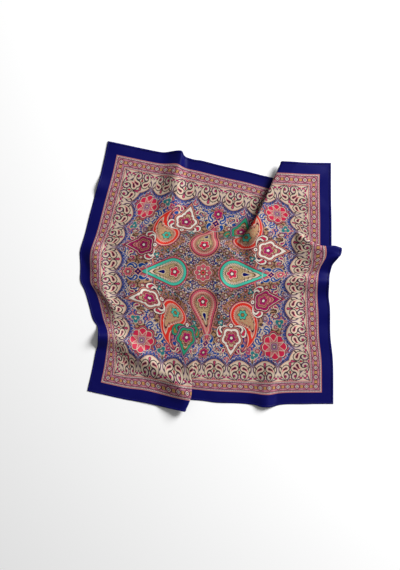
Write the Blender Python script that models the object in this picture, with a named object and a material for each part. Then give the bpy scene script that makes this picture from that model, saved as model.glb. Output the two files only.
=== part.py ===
"""A square printed headscarf, laid loosely on a flat surface.

The cloth is one square panel with a narrow turned hem along each of its four sides. It lies flat
except where it was dropped: three tucks run in from the hem and die out inside the cloth, and soft
ridges cross the borders. Each point of the cut square is first laid on the surface, by a blend of
the places where parts of the cloth came to rest, and then lifted by the tuck or ridge it is in.
Lengths in the tables are millimetres, with the centre of the cut square as the origin.
"""

from math import cos, radians, sin

import bmesh
import bpy
import numpy as np

MM = 0.001

# The cut square and its hem.
SIDE = 900.0
HEM = 7.0
SEAM_GAP = 0.3
PANEL_WALL = 1.2
HEM_WALL = 2.0

# The shape of every tuck. Its middle layer turns over by up to FULL_TURN, and its top layer comes
# down at DROP_SLOPE (radians) and lands in a curve. Where it takes up less than SOFT_BELOW of
# cloth, its bends open out to SOFT_RADIUS. HANDOVER: the bends after which the upper layer lies by
# its own side alone. Nothing further than TUCK_REACH from a tuck's line is in it.
FULL_TURN = radians(172)
DROP_SLOPE = 0.30
LANDING_RADIUS = 60.0
SOFT_RADIUS = 9.0
SOFT_BELOW = 40.0
SOFTENING = 1.5
HANDOVER = 1.5
TUCK_REACH = 270.0

# How fast a place loses its hold on the cloth with distance, how full a ridge's section is, and
# how far from its crest a ridge has changed from the width of one side to that of the other.
HOLD_FALLS = 2.5
RIDGE_FALLS = 1.5
LEAN_BLEND = 12.0

# The grid that carries the folds: its cells, the fine ones along the tucks, how far those reach
# to each side of the line of the top and bottom tucks and of the right one, how far below its
# line the right tuck's fine rows are centred, and how far the cells take to grow back.
COLUMNS = 48
ROWS = 42
CELL = 34.0
FINE_CELL = 4.6
TOP_FINE = 42.0
RIGHT_FINE = 30.0
RIGHT_LOWERED = 10.0
FADE = 36.0
INNER = SIDE / 2 - HEM - SEAM_GAP
RIM_ANGLE = radians(60)

# What keeps a division by nothing away, and how many steps the lookups have.
TINY = 1e-6
TURN_STEPS = 200
SPACING_STEPS = 1200

# The mean colour of the print, and the navy of the border, as linear colours.
PRINT_COLOUR = (0.25, 0.15, 0.15)
NAVY = (0.012, 0.010, 0.13)

# Where parts of the cloth came to rest. u, v: the point on the cut square. x, y: where that point
# lies. turned: degrees clockwise seen from above. reach: how far its neighbours follow it.
PLACES = (
    # part of the cloth, u, v, x, y, turned, reach
    ("top left corner", -450, 450, -329, 457, 12, 120),
    ("top ridge", -203, 450, -85, 424, -4, 24),
    ("beside top ridge", -158, 450, -53, 399, 17, 26),
    ("top hem", 0, 450, 96, 364, 13, 60),
    ("under top flap", 145, 450, 239, 330, 13, 70),
    ("top flap", 280, 450, 274, 387, 2, 60),
    ("top right corner", 450, 450, 443, 382, 0, 110),
    ("above right tuck", 450, 190, 445, 124, 0, 60),
    ("lip of right tuck", 450, 84, 481, 82, 8, 28),
    ("flank of right tuck", 450, 44, 466, 50, 38, 24),
    ("below right tuck", 450, 4, 443, 13, 14, 26),
    ("right hem", 450, -62, 435, -57, 2, 40),
    ("right lower hem", 450, -160, 440, -156, 0, 60),
    ("bottom right corner", 450, -450, 451, -453, 0, 120),
    ("bottom ripple", 207, -450, 211, -465, 0, 26),
    ("beside bottom ripple", 158, -450, 163, -454, 5, 40),
    ("under bottom flap", -40, -450, -28, -440, 4, 50),
    ("bottom flap", -120, -450, -79, -477, 12, 60),
    ("bottom left corner", -450, -450, -401, -408, 13, 90),
    ("left dent", -450, -249, -363, -220, 2, 26),
    ("left lower edge", -450, -121, -398, -100, -15, 46),
    ("left bulge", -450, 0, -425, 20, 0, 30),
    ("left upper edge", -450, 200, -389, 214, 14, 80),
    ("upper middle", 0, 300, 58, 226, 12, 100),
    ("left middle", -322, 0, -306, 6, 0, 70),
    ("centre", 0, 0, 0, 2, 2, 120),
    ("right upper field", 329, 99, 336, 76, 2, 60),
    ("right lower field", 329, -99, 313, -92, 0, 70),
    ("lower left field", -150, -230, -108, -225, 9, 90),
    ("lower middle", 20, -341, 14, -338, 3, 80),
)

# Tucks run from their mouth on the hem to their apex in the cloth. The layer on the right hand,
# seen from the apex, is the one on top. bend: radius of the two folds where they are full.
TUCKS = (
    # tuck, mouth u, mouth v, apex u, apex v, bend
    ("top tuck", 237, 450, 112, 104, 6),
    ("bottom tuck", -84, -450, -20, -260, 6),
    ("right tuck", 450, 112, 318, 172, 5),
)

# Ridges are soft folds that stay open. a: one end of a stretch of the crest, b: the other, each
# with a height and a width. The height falls to nothing at that width from the line of the crest.
# lean: the share by which the side on the left hand, seen from a, is wider than that, and the
# other side narrower. The stretches of one ridge have one name.
RIDGES = (
    # ridge, a u, a v, b u, b v, height at a, height at b, width at a, width at b, lean to the left
    ("top ridge", -196, 460, -180, 395, 22, 22, 52, 62, -0.30),
    ("top ridge", -180, 395, -158, 318, 22, 21, 62, 68, -0.35),
    ("top ridge", -158, 318, -150, 236, 21, 20, 68, 70, -0.35),
    ("top ridge", -150, 236, -190, 60, 20, 17, 70, 70, -0.35),
    ("top ridge", -190, 60, -258, -86, 17, 12, 70, 60, -0.35),
    ("top ridge", -258, -86, -330, -140, 12, 7, 60, 55, -0.30),
    ("flap ridge", 228, 380, 182, 240, 0, 9, 50, 62, 0.25),
    ("flap ridge", 182, 240, 166, 150, 9, 16, 62, 72, 0.30),
    ("flap ridge", 166, 150, 170, 50, 16, 6, 72, 66, 0.30),
    ("middle ridge", 90, 60, 62, -20, 7, 10, 60, 65, 0.0),
    ("middle ridge", 62, -20, 66, -110, 10, 8, 65, 65, 0.0),
    ("middle ridge", 66, -110, 45, -200, 8, 2, 65, 60, 0.0),
    ("bottom ridge", 214, -460, 216, -422, 11, 14, 55, 62, 0.25),
    ("bottom ridge", 216, -422, 240, -350, 14, 18, 62, 68, 0.30),
    ("bottom ridge", 240, -350, 318, -210, 18, 16, 68, 70, 0.30),
    ("bottom ridge", 318, -210, 326, -90, 16, 6, 70, 60, 0.30),
    ("left dent ridge", -460, -246, -348, -249, 21, 16, 55, 58, -0.15),
    ("left dent ridge", -348, -249, -126, -373, 16, 14, 58, 58, -0.20),
    ("left bulge ridge", -392, 70, -352, -150, 14, 12, 62, 62, -0.10),
    ("right hem ridge", 460, -40, 270, -20, 17, 13, 52, 60, 0.25),
    ("right hem ridge", 270, -20, 70, -50, 13, 11, 60, 58, 0.20),
    ("right hem ridge", 70, -50, -80, -85, 11, 7, 58, 52, 0.20),
    ("right flank ridge", 460, 52, 360, 20, 9, 5, 34, 50, 0.0),
    ("right lower ridge", 460, -150, 360, -150, 6, 2, 60, 60, 0.0),
    ("crossing ridge", 80, 95, -140, 75, 9, 6, 60, 70, 0.10),
)


def tuck_frame(tuck):
    """The apex of a tuck, its direction to the mouth, and the direction across to its top layer."""
    name, mouth_u, mouth_v, apex_u, apex_v, bend = tuck
    apex = np.array([apex_u, apex_v], float)
    axis = np.array([mouth_u, mouth_v]) - apex
    axis /= np.hypot(*axis)
    return apex, axis, np.array([axis[1], -axis[0]])


def cloth_distance(points, place, forced):
    """How far each point is from a place along the cloth, round the apex of any tuck between them.

    forced holds a tuck and a side: the points count as lying on that side of that tuck."""
    straight = np.hypot(*(points - place).T)
    for tuck in TUCKS:
        apex, axis, across = tuck_frame(tuck)
        along, side = (points - apex) @ axis, (points - apex) @ across
        place_along, place_side = (place - apex) @ axis, (place - apex) @ across
        if forced and forced[0] == tuck[0]:
            blocked = np.full(len(points), forced[1] * place_side < 0) & (along > 0)
        else:
            spread = np.where(side == place_side, 1.0, side - place_side)
            crossing = along + (place_along - along) * side / spread
            blocked = (side * place_side < 0) & (crossing > 0)
        detour = np.hypot(along, side) + np.hypot(place_along, place_side)
        straight = np.where(blocked, np.maximum(straight, detour), straight)
    return straight


def lie(points, forced=None):
    """Where points of the cut square lie on the surface, seen from above."""
    total = np.zeros(len(points))
    laid = np.zeros((len(points), 2))
    for name, u, v, x, y, turned, reach in PLACES:
        weight = (1 + (cloth_distance(points, (u, v), forced) / reach) ** 2) ** -HOLD_FALLS
        c, s = cos(radians(turned)), sin(radians(turned))
        du, dv = points[:, 0] - u, points[:, 1] - v
        laid[:, 0] += weight * (x + du * c + dv * s)
        laid[:, 1] += weight * (y - du * s + dv * c)
        total += weight
    return laid / total[:, None]


def tuck_section(q, turn, run, bend):
    """The section of a tuck by arc length: the distance across and the height at q.

    q is zero in the middle of the middle layer. turn: how far the middle layer turns over.
    run: the length of the flat part of each layer. Returns where the tuck starts and ends too."""
    top = 2 * bend * (1 - np.cos(turn)) + run * np.sin(turn)
    slope = np.minimum(DROP_SLOPE, np.arccos(1 - top / (bend + LANDING_RADIUS)))
    rounded = (bend + LANDING_RADIUS) * (1 - np.cos(slope))
    drop = np.maximum(top - rounded, 0) / np.maximum(np.sin(slope), TINY)
    flat = np.zeros_like(q)
    stretches = (
        # from angle, to angle, length
        (flat, turn, bend * turn),
        (turn, turn, run),
        (turn, flat, bend * turn),
        (flat, flat, run),
        (flat, -slope, bend * slope),
        (-slope, -slope, drop),
        (-slope, flat, LANDING_RADIUS * slope),
    )
    start = -(run / 2 + bend * turn)
    across, height, reached = np.zeros_like(q), np.zeros_like(q), start
    for first, last, length in stretches:
        part = np.clip(q - reached, 0, length)
        curve = (last - first) / np.maximum(length, TINY)
        bent = np.abs(curve) > TINY
        curve = np.where(bent, curve, 1)
        now = first + curve * part
        across += np.where(bent, (np.sin(now) - np.sin(first)) / curve, np.cos(first) * part)
        height += np.where(bent, (np.cos(first) - np.cos(now)) / curve, np.sin(first) * part)
        reached = reached + length
    return across, height, start, reached


def smooth(t):
    t = np.clip(t, 0, 1)
    return t * t * (3 - 2 * t)


def ridge_height(points):
    """The height of the soft ridges over each point. The stretches of one ridge join smoothly."""
    heights = {}
    for name, au, av, bu, bv, high_a, high_b, wide_a, wide_b, lean in RIDGES:
        crest = np.array([bu - au, bv - av], float)
        length = np.hypot(*crest)
        crest /= length
        offset = points - (au, av)
        along, side = offset @ crest, offset @ np.array([-crest[1], crest[0]])
        share = np.clip(along / length, 0, 1)
        width = (wide_a + (wide_b - wide_a) * share) * (1 + lean * np.tanh(side / LEAN_BLEND))
        past = np.hypot(along - share * length, side)
        high = (high_a + (high_b - high_a) * share) * smooth(1 - past / width) ** RIDGE_FALLS
        heights[name] = np.maximum(heights.get(name, 0), high)
    return sum(heights.values())


def fold(points):
    """The place in space of each point of the cut square, in millimetres.

    In a tuck, the cloth that its two sides have too much of, because they came to rest over each
    other, goes into the two bends and the flat run of a section across it."""
    laid = lie(points)
    height = ridge_height(points)
    turns = np.linspace(0, FULL_TURN, TURN_STEPS)
    for tuck in TUCKS:
        name, bend = tuck[0], tuck[-1]
        apex, axis, across = tuck_frame(tuck)
        along, side = (points - apex) @ axis, (points - apex) @ across
        near = np.flatnonzero((along > 0) & (np.abs(side) < TUCK_REACH))
        q = side[near]
        lip = apex + along[near][:, None] * axis
        top_lip = lie(lip, (name, 1))
        way = lie(lip + across, (name, 1)) - top_lip
        way /= np.hypot(*way.T)[:, None]
        taken = np.maximum(np.sum((lie(lip, (name, -1)) - top_lip) * way, axis=1), 0)
        softness = np.clip(1 - taken / SOFT_BELOW, 0, 1) ** SOFTENING
        radius = bend + (SOFT_RADIUS - bend) * softness
        turn = np.interp(taken / (2 * radius), turns - np.sin(turns), turns)
        run = np.maximum(taken - 2 * radius * (turn - np.sin(turn)), 0) / 2
        x, z, start, end = tuck_section(q, turn, run, radius)
        x_end = tuck_section(end, turn, run, radius)[0]
        low = lie(lip + (start + x)[:, None] * across, (name, -1))
        high = lie(lip + (end - x_end + x)[:, None] * across, (name, 1))
        handover = run + HANDOVER * radius * turn
        upper = smooth((q - start) / np.maximum(handover, TINY))[:, None]
        inside = (q > start) & (q < end)
        laid[near[inside]] = (low + (high - low) * upper)[inside]
        height[near[inside]] += z[inside]
    return np.column_stack([laid, height])


def upward(points):
    """The unit normal of the laid cloth at each point, on the printed side."""
    step = 0.5
    here = fold(points)
    along_u = fold(points + (step, 0)) - here
    along_v = fold(points + (0, step)) - here
    normal = np.cross(along_u, along_v)
    return normal / np.linalg.norm(normal, axis=1)[:, None]


def spaced(count, low, high, fine_middle, fine_half):
    """count + 1 positions from low to high, close together within fine_half of fine_middle."""
    t = np.linspace(low, high, SPACING_STEPS)
    fine = smooth((fine_half + FADE - np.abs(t - fine_middle)) / FADE)
    density = 1 / CELL + (1 / FINE_CELL - 1 / CELL) * fine
    filled = np.concatenate([[0], np.cumsum((density[1:] + density[:-1]) / 2)])
    return np.interp(np.linspace(0, filled[-1], count + 1), filled, t)


def tuck_line(v):
    """The u of the line that joins the top and the bottom tuck, at this v."""
    top, bottom = TUCKS[0], TUCKS[1]
    corners_v = (bottom[2], bottom[4], top[4], top[2])
    corners_u = (bottom[1], bottom[3], top[3], top[1])
    return np.interp(v, corners_v, corners_u)


def columns_at(v):
    """The u of each column of the grid at this v, fine along the top and bottom tucks."""
    return spaced(COLUMNS, -INNER, INNER, tuck_line(v), TOP_FINE)


def rows_at(u):
    """The v of each row of the grid at this u, fine along the right tuck."""
    tuck = TUCKS[2]
    middle = np.interp(u, (tuck[3], tuck[1]), (tuck[4], tuck[2])) - RIGHT_LOWERED
    if u < tuck[3] - CELL:
        return np.linspace(-INNER, INNER, ROWS + 1)
    return spaced(ROWS, -INNER, INNER, middle, RIGHT_FINE)


def panel_points():
    """The cut points of the panel's grid, row by row from the bottom."""
    even = np.linspace(-INNER, INNER, COLUMNS + 1)
    v = np.array([rows_at(u) for u in even]).T
    u = np.array([[columns_at(v[j, i])[i] for i in range(COLUMNS + 1)] for j in range(ROWS + 1)])
    return np.dstack([u, v])


def seam_steps(rim, outward):
    """Steps on the cut square that leave the seam gap on the laid cloth, longer where it is squeezed."""
    here = fold(rim)
    out = fold(rim + outward) - here
    along = fold(rim + outward[::-1]) - here
    apart = np.linalg.norm(np.cross(out, along), axis=1) / np.linalg.norm(along, axis=1)
    return SEAM_GAP / apart


def strip_points(side):
    """The cut points of one hem: two lines of points along its side of the square."""
    sign = 1 if side in ("top", "right") else -1
    level = side in ("top", "bottom")
    along = columns_at(sign * INNER) if level else rows_at(sign * INNER)
    edge = np.full_like(along, sign * INNER)
    rim = np.column_stack([along, edge] if level else [edge, along])
    outward = np.array([0, sign] if level else [sign, 0])
    inner = rim + seam_steps(rim, outward)[:, None] * outward
    outer = rim + (SIDE / 2 - INNER) * outward
    if level:
        inner[0, 0] = outer[0, 0] = -SIDE / 2
        inner[-1, 0] = outer[-1, 0] = SIDE / 2
        return np.array([inner, outer][::sign])
    return np.array([inner, outer][::-sign])


def cloth_object(name, points, wall, material):
    """A piece of cloth: a grid at the cut points, folded, with its wall above its underside."""
    rows, columns = points.shape[0] - 1, points.shape[1] - 1
    grid = bmesh.new()
    bmesh.ops.create_grid(grid, x_segments=columns, y_segments=rows, size=0.5)
    by_place = sorted(grid.verts, key=lambda vert: (round(vert.co.y, 6), round(vert.co.x, 6)))
    for vert, (u, v) in zip(by_place, points.reshape(-1, 2)):
        vert.co = (u, v, 0)
    made = bmesh.ops.extrude_face_region(grid, geom=grid.faces[:], use_keep_orig=True)
    for vert in made["geom"]:
        if isinstance(vert, bmesh.types.BMVert):
            vert.co.z = wall
    cut = np.array([vert.co for vert in grid.verts])
    placed = fold(cut[:, :2]) + cut[:, 2:] * upward(cut[:, :2])
    for vert, place in zip(grid.verts, placed * MM):
        vert.co = place
    bmesh.ops.recalc_face_normals(grid, faces=grid.faces[:])
    mesh = bpy.data.meshes.new(name)
    grid.to_mesh(mesh)
    grid.free()
    mesh.shade_smooth()
    mesh.set_sharp_from_angle(angle=RIM_ANGLE)
    mesh.materials.append(material)
    obj = bpy.data.objects.new(name, mesh)
    bpy.context.scene.collection.objects.link(obj)
    return obj


def cloth_material(name, colour, roughness):
    material = bpy.data.materials.new(name)
    material.use_nodes = True
    shader = material.node_tree.nodes["Principled BSDF"]
    shader.inputs["Base Color"].default_value = (*colour, 1)
    shader.inputs["Roughness"].default_value = roughness
    shader.inputs["Metallic"].default_value = 0
    material.diffuse_color = (*colour, 1)
    return material


for obj in list(bpy.data.objects):
    bpy.data.objects.remove(obj)

printed = cloth_material("printed silk", PRINT_COLOUR, 0.5)
border = cloth_material("navy silk", NAVY, 0.42)

pieces = [cloth_object("panel", panel_points(), PANEL_WALL, printed)]
for side in ("top", "right", "bottom", "left"):
    pieces.append(cloth_object("hem_" + side, strip_points(side), HEM_WALL, border))

# The origin is the middle of the laid cloth's box, on the surface that it lies on.
bpy.context.view_layer.update()
corners = np.array([corner for piece in pieces for corner in piece.bound_box])
middle = (corners.min(axis=0) + corners.max(axis=0)) / 2
lowest = corners[:, 2].min()
scarf = bpy.data.objects.new("headscarf", None)
bpy.context.scene.collection.objects.link(scarf)
scarf.location = (-middle[0], -middle[1], -lowest)
for piece in pieces:
    piece.parent = scarf
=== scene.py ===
"""A square silk headscarf with a printed panel, a navy border and rolled hems, dropped loosely on
a pale surface and seen from straight above. The script follows the scarf as it is made: the cut
square and how it lies, the print, the panel, the hems, their stitches, and then the studio."""

from math import cos, pi, radians, sin

import bmesh
import bpy
import numpy as np
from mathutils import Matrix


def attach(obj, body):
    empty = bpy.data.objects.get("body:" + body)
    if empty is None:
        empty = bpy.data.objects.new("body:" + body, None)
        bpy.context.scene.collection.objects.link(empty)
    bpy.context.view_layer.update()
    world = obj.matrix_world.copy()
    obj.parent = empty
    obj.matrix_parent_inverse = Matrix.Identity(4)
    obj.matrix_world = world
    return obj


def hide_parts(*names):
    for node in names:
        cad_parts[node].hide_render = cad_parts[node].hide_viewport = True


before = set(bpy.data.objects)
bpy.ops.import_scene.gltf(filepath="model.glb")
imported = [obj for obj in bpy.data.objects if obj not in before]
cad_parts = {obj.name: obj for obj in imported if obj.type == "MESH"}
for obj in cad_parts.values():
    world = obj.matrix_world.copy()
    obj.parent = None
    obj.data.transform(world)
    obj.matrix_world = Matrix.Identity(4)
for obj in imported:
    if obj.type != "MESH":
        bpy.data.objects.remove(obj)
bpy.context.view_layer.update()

# The camera looks straight down on the laid scarf from well above it, as for a catalogue picture.
# One pixel of the 400 x 570 frame is 900 / 260 mm on the surface, because the cut side of 900 mm
# is 260 pixels long where it lies without a fold.
MM = 0.001
PIXEL = 900 / 260 * MM
FRAME_HEIGHT = 570 * PIXEL
FRAME_MIDDLE = (-0.0367, -0.0305)
LENS = 100.0
SENSOR = 36.0

camera = bpy.data.objects.new("camera", bpy.data.cameras.new("camera"))
camera.data.lens = LENS
camera.data.sensor_width = SENSOR
camera.location = (*FRAME_MIDDLE, FRAME_HEIGHT * LENS / SENSOR)
bpy.context.scene.collection.objects.link(camera)
bpy.context.scene.camera = camera


# The cut square and how it came to lie. Silk twill, cut at 900 mm and dropped from the hand: each
# part of it came to rest somewhere, three tucks took up the cloth between parts that slid over
# each other, and soft ridges stand where a little cloth was left over. Lengths are millimetres.
SIDE = 900.0
HEM = 7.0
SEAM_GAP = 0.3
INNER = SIDE / 2 - HEM - SEAM_GAP

FULL_TURN = radians(172)
DROP_SLOPE = 0.30
LANDING_RADIUS = 60.0
SOFT_RADIUS = 9.0
SOFT_BELOW = 40.0
SOFTENING = 1.5
HANDOVER = 1.5
TUCK_REACH = 270.0
HOLD_FALLS = 2.5
RIDGE_FALLS = 1.5
LEAN_BLEND = 12.0
TURN_STEPS = 200
NORMAL_STEP = 0.5
RIM_STEPS = 1000
TINY = 1e-6

PLACES = (
    # part of the cloth, u, v, x, y, turned clockwise, reach
    ("top left corner", -450, 450, -329, 457, 12, 120),
    ("top ridge", -203, 450, -85, 424, -4, 24),
    ("beside top ridge", -158, 450, -53, 399, 17, 26),
    ("top hem", 0, 450, 96, 364, 13, 60),
    ("under top flap", 145, 450, 239, 330, 13, 70),
    ("top flap", 280, 450, 274, 387, 2, 60),
    ("top right corner", 450, 450, 443, 382, 0, 110),
    ("above right tuck", 450, 190, 445, 124, 0, 60),
    ("lip of right tuck", 450, 84, 481, 82, 8, 28),
    ("flank of right tuck", 450, 44, 466, 50, 38, 24),
    ("below right tuck", 450, 4, 443, 13, 14, 26),
    ("right hem", 450, -62, 435, -57, 2, 40),
    ("right lower hem", 450, -160, 440, -156, 0, 60),
    ("bottom right corner", 450, -450, 451, -453, 0, 120),
    ("bottom ripple", 207, -450, 211, -465, 0, 26),
    ("beside bottom ripple", 158, -450, 163, -454, 5, 40),
    ("under bottom flap", -40, -450, -28, -440, 4, 50),
    ("bottom flap", -120, -450, -79, -477, 12, 60),
    ("bottom left corner", -450, -450, -401, -408, 13, 90),
    ("left dent", -450, -249, -363, -220, 2, 26),
    ("left lower edge", -450, -121, -398, -100, -15, 46),
    ("left bulge", -450, 0, -425, 20, 0, 30),
    ("left upper edge", -450, 200, -389, 214, 14, 80),
    ("upper middle", 0, 300, 58, 226, 12, 100),
    ("left middle", -322, 0, -306, 6, 0, 70),
    ("centre", 0, 0, 0, 2, 2, 120),
    ("right upper field", 329, 99, 336, 76, 2, 60),
    ("right lower field", 329, -99, 313, -92, 0, 70),
    ("lower left field", -150, -230, -108, -225, 9, 90),
    ("lower middle", 20, -341, 14, -338, 3, 80),
)

TUCKS = (
    # tuck, mouth u, mouth v, apex u, apex v, bend
    ("top tuck", 237, 450, 112, 104, 6),
    ("bottom tuck", -84, -450, -20, -260, 6),
    ("right tuck", 450, 112, 318, 172, 5),
)

RIDGES = (
    # ridge, a u, a v, b u, b v, height at a, height at b, width at a, width at b, lean to the left
    ("top ridge", -196, 460, -180, 395, 22, 22, 52, 62, -0.30),
    ("top ridge", -180, 395, -158, 318, 22, 21, 62, 68, -0.35),
    ("top ridge", -158, 318, -150, 236, 21, 20, 68, 70, -0.35),
    ("top ridge", -150, 236, -190, 60, 20, 17, 70, 70, -0.35),
    ("top ridge", -190, 60, -258, -86, 17, 12, 70, 60, -0.35),
    ("top ridge", -258, -86, -330, -140, 12, 7, 60, 55, -0.30),
    ("flap ridge", 228, 380, 182, 240, 0, 9, 50, 62, 0.25),
    ("flap ridge", 182, 240, 166, 150, 9, 16, 62, 72, 0.30),
    ("flap ridge", 166, 150, 170, 50, 16, 6, 72, 66, 0.30),
    ("middle ridge", 90, 60, 62, -20, 7, 10, 60, 65, 0.0),
    ("middle ridge", 62, -20, 66, -110, 10, 8, 65, 65, 0.0),
    ("middle ridge", 66, -110, 45, -200, 8, 2, 65, 60, 0.0),
    ("bottom ridge", 214, -460, 216, -422, 11, 14, 55, 62, 0.25),
    ("bottom ridge", 216, -422, 240, -350, 14, 18, 62, 68, 0.30),
    ("bottom ridge", 240, -350, 318, -210, 18, 16, 68, 70, 0.30),
    ("bottom ridge", 318, -210, 326, -90, 16, 6, 70, 60, 0.30),
    ("left dent ridge", -460, -246, -348, -249, 21, 16, 55, 58, -0.15),
    ("left dent ridge", -348, -249, -126, -373, 16, 14, 58, 58, -0.20),
    ("left bulge ridge", -392, 70, -352, -150, 14, 12, 62, 62, -0.10),
    ("right hem ridge", 460, -40, 270, -20, 17, 13, 52, 60, 0.25),
    ("right hem ridge", 270, -20, 70, -50, 13, 11, 60, 58, 0.20),
    ("right hem ridge", 70, -50, -80, -85, 11, 7, 58, 52, 0.20),
    ("right flank ridge", 460, 52, 360, 20, 9, 5, 34, 50, 0.0),
    ("right lower ridge", 460, -150, 360, -150, 6, 2, 60, 60, 0.0),
    ("crossing ridge", 80, 95, -140, 75, 9, 6, 60, 70, 0.10),
)

# Slight lifts of the hem, which the panel's solid leaves out.
LIFTS = (
    # lift, a u, a v, b u, b v, height at a, height at b, width at a, width at b, lean to the left
    ("left upper lift", -470, 292, -400, 285, 12, 3, 62, 60, 0.0),
    ("left dent lift", -470, -250, -400, -248, 6, 1, 50, 50, 0.0),
)

SWELLS = 14
SWELL_SEED = 5
SWELL_HEIGHT = 0.35
SWELL_LENGTHS = (90.0, 260.0)


def tuck_frame(tuck):
    """The apex of a tuck, its direction to the mouth, and the direction across to its top layer."""
    name, mouth_u, mouth_v, apex_u, apex_v, bend = tuck
    apex = np.array([apex_u, apex_v], float)
    axis = np.array([mouth_u, mouth_v]) - apex
    axis /= np.hypot(*axis)
    return apex, axis, np.array([axis[1], -axis[0]])


def cloth_distance(points, place, forced):
    """How far each point is from a place along the cloth, round the apex of any tuck between them."""
    straight = np.hypot(*(points - place).T)
    for tuck in TUCKS:
        apex, axis, across = tuck_frame(tuck)
        along, side = (points - apex) @ axis, (points - apex) @ across
        place_along, place_side = (place - apex) @ axis, (place - apex) @ across
        if forced and forced[0] == tuck[0]:
            blocked = np.full(len(points), forced[1] * place_side < 0) & (along > 0)
        else:
            spread = np.where(side == place_side, 1.0, side - place_side)
            crossing = along + (place_along - along) * side / spread
            blocked = (side * place_side < 0) & (crossing > 0)
        detour = np.hypot(along, side) + np.hypot(place_along, place_side)
        straight = np.where(blocked, np.maximum(straight, detour), straight)
    return straight


def lie(points, forced=None):
    """Where points of the cut square lie on the surface, seen from above."""
    total = np.zeros(len(points))
    laid = np.zeros((len(points), 2))
    for name, u, v, x, y, turned, reach in PLACES:
        weight = (1 + (cloth_distance(points, (u, v), forced) / reach) ** 2) ** -HOLD_FALLS
        c, s = cos(radians(turned)), sin(radians(turned))
        du, dv = points[:, 0] - u, points[:, 1] - v
        laid[:, 0] += weight * (x + du * c + dv * s)
        laid[:, 1] += weight * (y - du * s + dv * c)
        total += weight
    return laid / total[:, None]


def tuck_section(q, turn, run, bend):
    """The section of a tuck by arc length q: the distance across, the height, its start and end."""
    top = 2 * bend * (1 - np.cos(turn)) + run * np.sin(turn)
    slope = np.minimum(DROP_SLOPE, np.arccos(1 - top / (bend + LANDING_RADIUS)))
    rounded = (bend + LANDING_RADIUS) * (1 - np.cos(slope))
    drop = np.maximum(top - rounded, 0) / np.maximum(np.sin(slope), TINY)
    flat = np.zeros_like(q)
    stretches = (
        # from angle, to angle, length
        (flat, turn, bend * turn),
        (turn, turn, run),
        (turn, flat, bend * turn),
        (flat, flat, run),
        (flat, -slope, bend * slope),
        (-slope, -slope, drop),
        (-slope, flat, LANDING_RADIUS * slope),
    )
    start = -(run / 2 + bend * turn)
    across, height, reached = np.zeros_like(q), np.zeros_like(q), start
    for first, last, length in stretches:
        part = np.clip(q - reached, 0, length)
        curve = (last - first) / np.maximum(length, TINY)
        bent = np.abs(curve) > TINY
        curve = np.where(bent, curve, 1)
        now = first + curve * part
        across += np.where(bent, (np.sin(now) - np.sin(first)) / curve, np.cos(first) * part)
        height += np.where(bent, (np.cos(first) - np.cos(now)) / curve, np.sin(first) * part)
        reached = reached + length
    return across, height, start, reached


def smooth(t):
    """A smooth step from 0 to 1."""
    t = np.clip(t, 0, 1)
    return t * t * (3 - 2 * t)


def ridge_height(points, ridges):
    """The height of soft ridges over each point. The stretches of one ridge join without a step."""
    heights = {}
    for name, au, av, bu, bv, high_a, high_b, wide_a, wide_b, lean in ridges:
        crest = np.array([bu - au, bv - av], float)
        length = np.hypot(*crest)
        crest /= length
        offset = points - (au, av)
        along, side = offset @ crest, offset @ np.array([-crest[1], crest[0]])
        share = np.clip(along / length, 0, 1)
        width = (wide_a + (wide_b - wide_a) * share) * (1 + lean * np.tanh(side / LEAN_BLEND))
        past = np.hypot(along - share * length, side)
        high = (high_a + (high_b - high_a) * share) * smooth(1 - past / width) ** RIDGE_FALLS
        heights[name] = np.maximum(heights.get(name, 0), high)
    return sum(heights.values())


def swell_height(points):
    """The slight swell of cloth that isn't pressed flat, always above the surface."""
    draw = np.random.default_rng(SWELL_SEED)
    height = np.zeros(len(points))
    for _ in range(SWELLS):
        heading = draw.uniform(0, pi)
        length = draw.uniform(*SWELL_LENGTHS)
        phase = draw.uniform(0, 2 * pi)
        along = points @ np.array([cos(heading), sin(heading)])
        height += SWELL_HEIGHT * (1 + np.sin(2 * pi * along / length + phase))
    return height


def fold(points):
    """The place of each point of the cut square above the surface, in millimetres."""
    laid = lie(points)
    height = ridge_height(points, RIDGES) + ridge_height(points, LIFTS)
    height = np.maximum(height + swell_height(points) - SWELLS * SWELL_HEIGHT, 0)
    turns = np.linspace(0, FULL_TURN, TURN_STEPS)
    for tuck in TUCKS:
        name, bend = tuck[0], tuck[-1]
        apex, axis, across = tuck_frame(tuck)
        along, side = (points - apex) @ axis, (points - apex) @ across
        near = np.flatnonzero((along > 0) & (np.abs(side) < TUCK_REACH))
        q = side[near]
        lip = apex + along[near][:, None] * axis
        top_lip = lie(lip, (name, 1))
        way = lie(lip + across, (name, 1)) - top_lip
        way /= np.hypot(*way.T)[:, None]
        taken = np.maximum(np.sum((lie(lip, (name, -1)) - top_lip) * way, axis=1), 0)
        softness = np.clip(1 - taken / SOFT_BELOW, 0, 1) ** SOFTENING
        radius = bend + (SOFT_RADIUS - bend) * softness
        turn = np.interp(taken / (2 * radius), turns - np.sin(turns), turns)
        run = np.maximum(taken - 2 * radius * (turn - np.sin(turn)), 0) / 2
        x, z, start, end = tuck_section(q, turn, run, radius)
        x_end = tuck_section(end, turn, run, radius)[0]
        low = lie(lip + (start + x)[:, None] * across, (name, -1))
        high = lie(lip + (end - x_end + x)[:, None] * across, (name, 1))
        handover = run + HANDOVER * radius * turn
        upper = smooth((q - start) / np.maximum(handover, TINY))[:, None]
        inside = (q > start) & (q < end)
        laid[near[inside]] = (low + (high - low) * upper)[inside]
        height[near[inside]] += z[inside]
    return np.column_stack([laid, height])


def upward(points):
    """The unit normal of the laid cloth at each point, on the printed side."""
    here = fold(points)
    along_u = fold(points + (NORMAL_STEP, 0)) - here
    along_v = fold(points + (0, NORMAL_STEP)) - here
    normal = np.cross(along_u, along_v)
    return normal / np.linalg.norm(normal, axis=1)[:, None]


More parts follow.
